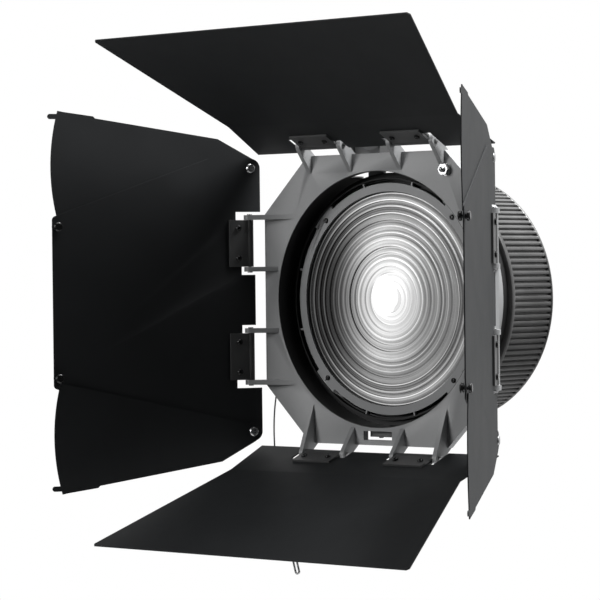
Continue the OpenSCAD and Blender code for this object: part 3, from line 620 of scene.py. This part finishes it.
@dataclass
class Viewpoint:
    """The camera, given as a turn round a target."""

    azimuth: float = 40.2
    elevation: float = 0.57
    roll: float = -0.65
    distance: float = 2.5841
    target: tuple[float, float, float] = (-0.1049, -0.1483, -0.0006)
    lens: float = 165.1

    def build(self) -> None:
        """Makes the scene's camera: back points from the target to it, right is level and then rolled."""
        az, el, roll = (math.radians(v) for v in (self.azimuth, self.elevation, self.roll))
        back = np.array([math.sin(az) * math.cos(el), -math.cos(az) * math.cos(el), math.sin(el)])
        level = np.array([math.cos(az), math.sin(az), 0.0])
        upright = np.cross(back, level)
        right = math.cos(roll) * level + math.sin(roll) * upright
        up = np.cross(back, right)
        data = bpy.data.cameras.new("camera")
        data.lens, data.sensor_width, data.clip_end = self.lens, 36.0, 100.0
        made = bpy.data.objects.new("camera", data)
        place = np.eye(4)
        place[:3, 0], place[:3, 1], place[:3, 2] = right, up, back
        place[:3, 3] = np.array(self.target) + self.distance * back
        made.matrix_world = mathutils.Matrix(place.tolist())
        bpy.context.scene.collection.objects.link(made)
        bpy.context.scene.camera = made


@dataclass
class Studio:
    """A room that is white behind and overhead and dim in front, a pale floor and three softboxes."""

    dim: float = 0.05
    bright_low: float = 0.04
    bright_high: float = 1.5
    floor_gap: float = 1.2
    floor_radius: float = 1.5
    lights: tuple[tuple[str, tuple[float, float, float], tuple[float, float], float], ...] = (
        ("overhead", (0.3, -0.3, 2.4), (1.6, 1.6), 34.0),
        ("front_left", (-1.6, -3.2, 0.9), (1.4, 1.6), 66.0),
        ("back_right", (1.1, 0.6, 2.7), (1.4, 1.4), 300.0),
    )

    def build(self, lowest: float) -> None:
        """Makes the floor, the lights and the world. Args: height of the object's lowest point, in metres."""
        self.floor(lowest - self.floor_gap)
        for name, place, size, power in self.lights:
            self.softbox(name, place, size, power)
        self.world()
        bpy.context.scene.view_settings.view_transform = "Standard"

    def floor(self, height: float) -> None:
        """A round pale floor. Args: its height in metres."""
        angle = np.linspace(0.0, 2 * np.pi, 96, endpoint=False)
        rim = np.stack([np.cos(angle), np.sin(angle), 0 * angle], axis=1) * self.floor_radius + [0.0, 0.0, height]
        made = mesh_object("floor", rim, np.zeros((0, 4), int), [list(range(len(rim)))])
        g = Graph("pale_floor")
        speck = g.noise(3.0, 5.0)
        made.data.materials.append(g.finish(Base_Color=g.mix(speck, grey(0.82), grey(0.9)), Roughness=0.8,
                                            Emission_Color=grey(1.0), Emission_Strength=0.04))

    def softbox(self, name: str, place: tuple[float, float, float], size: tuple[float, float],
                power: float) -> None:
        """A rectangular light aimed at the lens. Args: name, place in metres, size in metres, power in watts."""
        data = bpy.data.lights.new(name, "AREA")
        data.shape, data.size, data.size_y, data.energy = "RECTANGLE", *size, power
        made = bpy.data.objects.new(name, data)
        made.location = place
        aim = mathutils.Vector((0.0, -0.15, 0.0)) - mathutils.Vector(place)
        made.rotation_euler = aim.to_track_quat("-Z", "Y").to_euler()
        bpy.context.scene.collection.objects.link(made)

    def world(self) -> None:
        """The surround: white to look at, and as a light brighter towards the back and the ceiling."""
        world = bpy.data.worlds.new("studio")
        world.use_nodes = True
        bpy.context.scene.world = world
        nodes, links = world.node_tree.nodes, world.node_tree.links
        nodes.clear()

        def add(kind: str, settings: dict, *values: Union[bpy.types.NodeSocket, float]) -> bpy.types.NodeSocket:
            """One node. Args: kind, settings and inputs in order. Returns: its first output."""
            made = nodes.new(kind)
            for key, value in settings.items():
                setattr(made, key, value)
            for socket, value in zip(made.inputs, values):
                if isinstance(value, bpy.types.NodeSocket):
                    links.new(value, socket)
                else:
                    socket.default_value = value
            return made.outputs[0]

        white = (1.0, 1.0, 1.0, 1.0)
        way = nodes.new("ShaderNodeSeparateXYZ")
        links.new(add("ShaderNodeTexCoord", {}), way.inputs[0])
        back = add("ShaderNodeMapRange", {"interpolation_type": "SMOOTHSTEP"}, way.outputs[1], 0.0, 0.7, 0.0, 1.0)
        height = add("ShaderNodeMapRange", {}, way.outputs[2], -0.7, 0.7, self.bright_low, self.bright_high)
        glow = add("ShaderNodeMath", {"operation": "MULTIPLY_ADD"}, back, height, self.dim)
        lit = add("ShaderNodeBackground", {}, white, glow)
        seen = add("ShaderNodeBackground", {}, white, 1.0)
        rays = nodes.new("ShaderNodeLightPath").outputs["Is Camera Ray"]
        links.new(add("ShaderNodeMixShader", {}, rays, lit, seen), nodes.new("ShaderNodeOutputWorld").inputs[0])


@dataclass
class SteppedLens:
    """The front lens: concentric steps with curved facets."""

    radius: float = 101.0
    edge: float = 4.0
    back: float = 138.6
    rim: float = 5.0
    steps: int = 16
    riser: float = 0.12
    step_height: float = 2.2
    around: int = 360

    def build(self) -> bpy.types.Object:
        """Each step rises steeply over its inner eighth and falls as a quarter ellipse. Returns: the lens."""
        pitch = (self.radius - self.rim) / self.steps
        fall = np.array([0.0, 0.08, 0.25, 0.45, 0.65, 0.85, 1.0])
        radii, heights = [self.radius, self.radius - self.rim], [self.edge - 0.02, self.edge - 0.02]
        for index in range(self.steps, 0, -1):
            tall = self.step_height * min(1.0, 0.45 + index / 14)
            drop = tall * (1 - 0.92 * fall ** 1.7 - 0.08 * fall)
            place = (index - 1 + self.riser + (1 - self.riser) * fall) * pitch
            radii.extend(place[::-1])
            heights.extend((self.edge + drop)[::-1])
        front_r, front_z = np.array(radii), np.array(heights) + self.back
        inner = np.array([0.4])
        r = np.concatenate([front_r, inner, inner, [self.radius]])
        z = np.concatenate([front_z, [self.back + self.edge + 0.9], [self.back], [self.back]])
        return wear(turned("fresnel_lens_steps", r, z, self.around), "fresnel_lens")


@dataclass
class FocusGrip:
    """The ribbed rubber ring: straight ribs with rounded backs between two plain lips."""

    outer: float = 115.5
    inner: float = 109.5
    start: float = 50.0
    length: float = 64.0
    ribs: int = 126
    groove: float = 2.0
    front_lip: float = 5.0
    rear_lip: float = 2.5
    per_rib: int = 12

    fade: float = 0.9

    def build(self) -> bpy.types.Object:
        """Radius is the groove floor plus a flat-topped wave round the axis, faded out under each lip."""
        low, high = ends = (self.rear_lip, self.length - self.front_lip)
        along = np.array([0.0, 0.5, low - 0.4, low, low + self.fade * 0.5, low + self.fade,
                          *np.linspace(low + 4, high - 4, 6), high - self.fade, high - self.fade * 0.5,
                          high, high + 0.4, self.length - 0.6, self.length])
        lip = np.array([0.55, 0.0, 0.0, 0.35])
        plain = np.concatenate([lip, [0.0] * 10, lip[::-1]])
        return self.surface(along, ends, plain)

    def surface(self, along: Array, ends: tuple[float, float], plain: Array) -> bpy.types.Object:
        """The closed ring. Args: heights, where the ribs end, roundings of the lips. Returns: the grip."""
        angle = np.linspace(0.0, 2 * np.pi, self.ribs * self.per_rib, endpoint=False)[None, :]
        phase = (angle * self.ribs / (2 * np.pi)) % 1.0
        wave = np.clip(2.6 * np.cos(2 * np.pi * phase) + 1.1, -1.0, 1.0) * 0.5 + 0.5
        back = 0.25 * (1 - np.clip(np.cos(2 * np.pi * phase), 0, 1) ** 2)
        z = along[:, None]
        ribbed = (z > ends[0] + 0.01) & (z < ends[1] - 0.01)
        radius = np.where(ribbed, self.outer - 0.45 - self.groove * (1 - wave) - back * wave,
                          self.outer - plain[:, None])
        inside = np.full((2, angle.shape[1]), self.inner)
        radius = np.vstack([radius, inside])
        z = np.vstack([z, [[self.length], [0.0]]]) + self.start
        points = beam(radius * np.cos(angle), radius * np.sin(angle), z + 0 * angle)
        made = mesh_object("focus_grip_ribs", points, grid_quads(len(radius), angle.shape[1], True, True))
        return wear(outward(made, 50.0), "focus_grip")


@dataclass
class LatchSpring:
    """The two small coil springs over the frame latch."""

    places: tuple[float, float] = (-31.0, -9.0)
    low: float = 149.0
    top: float = 168.0
    depth: float = 138.6
    coil: float = 2.1
    wire: float = 0.35
    turns: int = 7
    squeezed: float = 0.737

    def build(self) -> bpy.types.Object:
        """A round wire whose centre is (c cos a, c sin a) and rises evenly with angle a. Returns: the springs."""
        a = np.linspace(0.0, 2 * np.pi * self.turns, 36 * self.turns)[:, None]
        b = np.linspace(0.0, 2 * np.pi, 12, endpoint=False)[None, :]
        r = self.coil + self.wire * np.cos(b)
        rise = self.wire + (self.top - self.low - 2 * self.wire) * a / a.max()
        height = self.low + rise + self.wire * np.sin(b)
        points, quads, caps = [], [], []
        for number, place in enumerate(self.places):
            points.append(beam(place + r * np.cos(a), height, self.depth + r * np.sin(a)))
            base = number * a.size * b.size
            quads.append(grid_quads(a.size, b.size, False, True) + base)
            last = base + (a.size - 1) * b.size
            caps.extend([list(range(base, base + b.size)), list(range(last, last + b.size))])
        made = mesh_object("latch_spring_coils", np.vstack(points), np.vstack(quads), caps)
        wear(outward(made, 60.0), "latch_spring")
        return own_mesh(made)


@dataclass
class CarriedOver:
    """Nodes whose shape is right, as softened copies, with the rounding of each kind."""

    rounding: dict[str, float] = field(default_factory=lambda: {
        "door_frame": 0.45, "lens_bezel": 0.3, "front_housing": 0.3, "rear_housing": 0.4, "mount_plate": 0.4,
        "bayonet_ring": 0.35, "frame_latch": 0.5, "latch_housing": 0.4, "frame_clip": 0.5, "lock_stud": 0.2,
        "lock_nut": 0.3, "cam_sleeve": 0.25, "guide_tube": 0.25, "lens_carriage": 0.3})
    by_ending: tuple[tuple[str, float], ...] = (
        ("_leaf", 0.3), ("_flap", 0.25), ("_hinge_plates", 0.4), ("_backing_plates", 0.4), ("_rivets", 0.35),
        ("_screws", 0.3), ("", 0.2))

    def width(self, node: str) -> float:
        """Rounding of a node. Args: its name. Returns: millimetres."""
        if node in self.rounding:
            return self.rounding[node]
        return next(size for ending, size in self.by_ending if node.endswith(ending))

    def build(self, done: set[str]) -> None:
        """Makes every copy. Args: the nodes that other classes have made."""
        for node in sorted(frame["nodes"]):
            if node not in done:
                softened(node, self.width(node))


def main() -> None:
    """Builds the head and its surroundings."""
    logging.basicConfig(level=logging.INFO, format="%(name)s %(message)s")
    Viewpoint().build()
    SafetyCable().build()
    SteppedLens().build()
    FocusGrip().build()
    LatchSpring().build()
    fittings = ("cable_ferrule", "cable_eye")
    for node in fittings:
        carried = frame["nodes"][node]
        carried.data.materials.clear()
        carried.data.materials.append(finish_of(node))
    CarriedOver().build({"safety_cable", "fresnel_lens", "focus_grip", "latch_spring", *fittings})
    Studio().build(lowest=CAD_BOX[0][2])


if __name__ == "__main__":
    main()
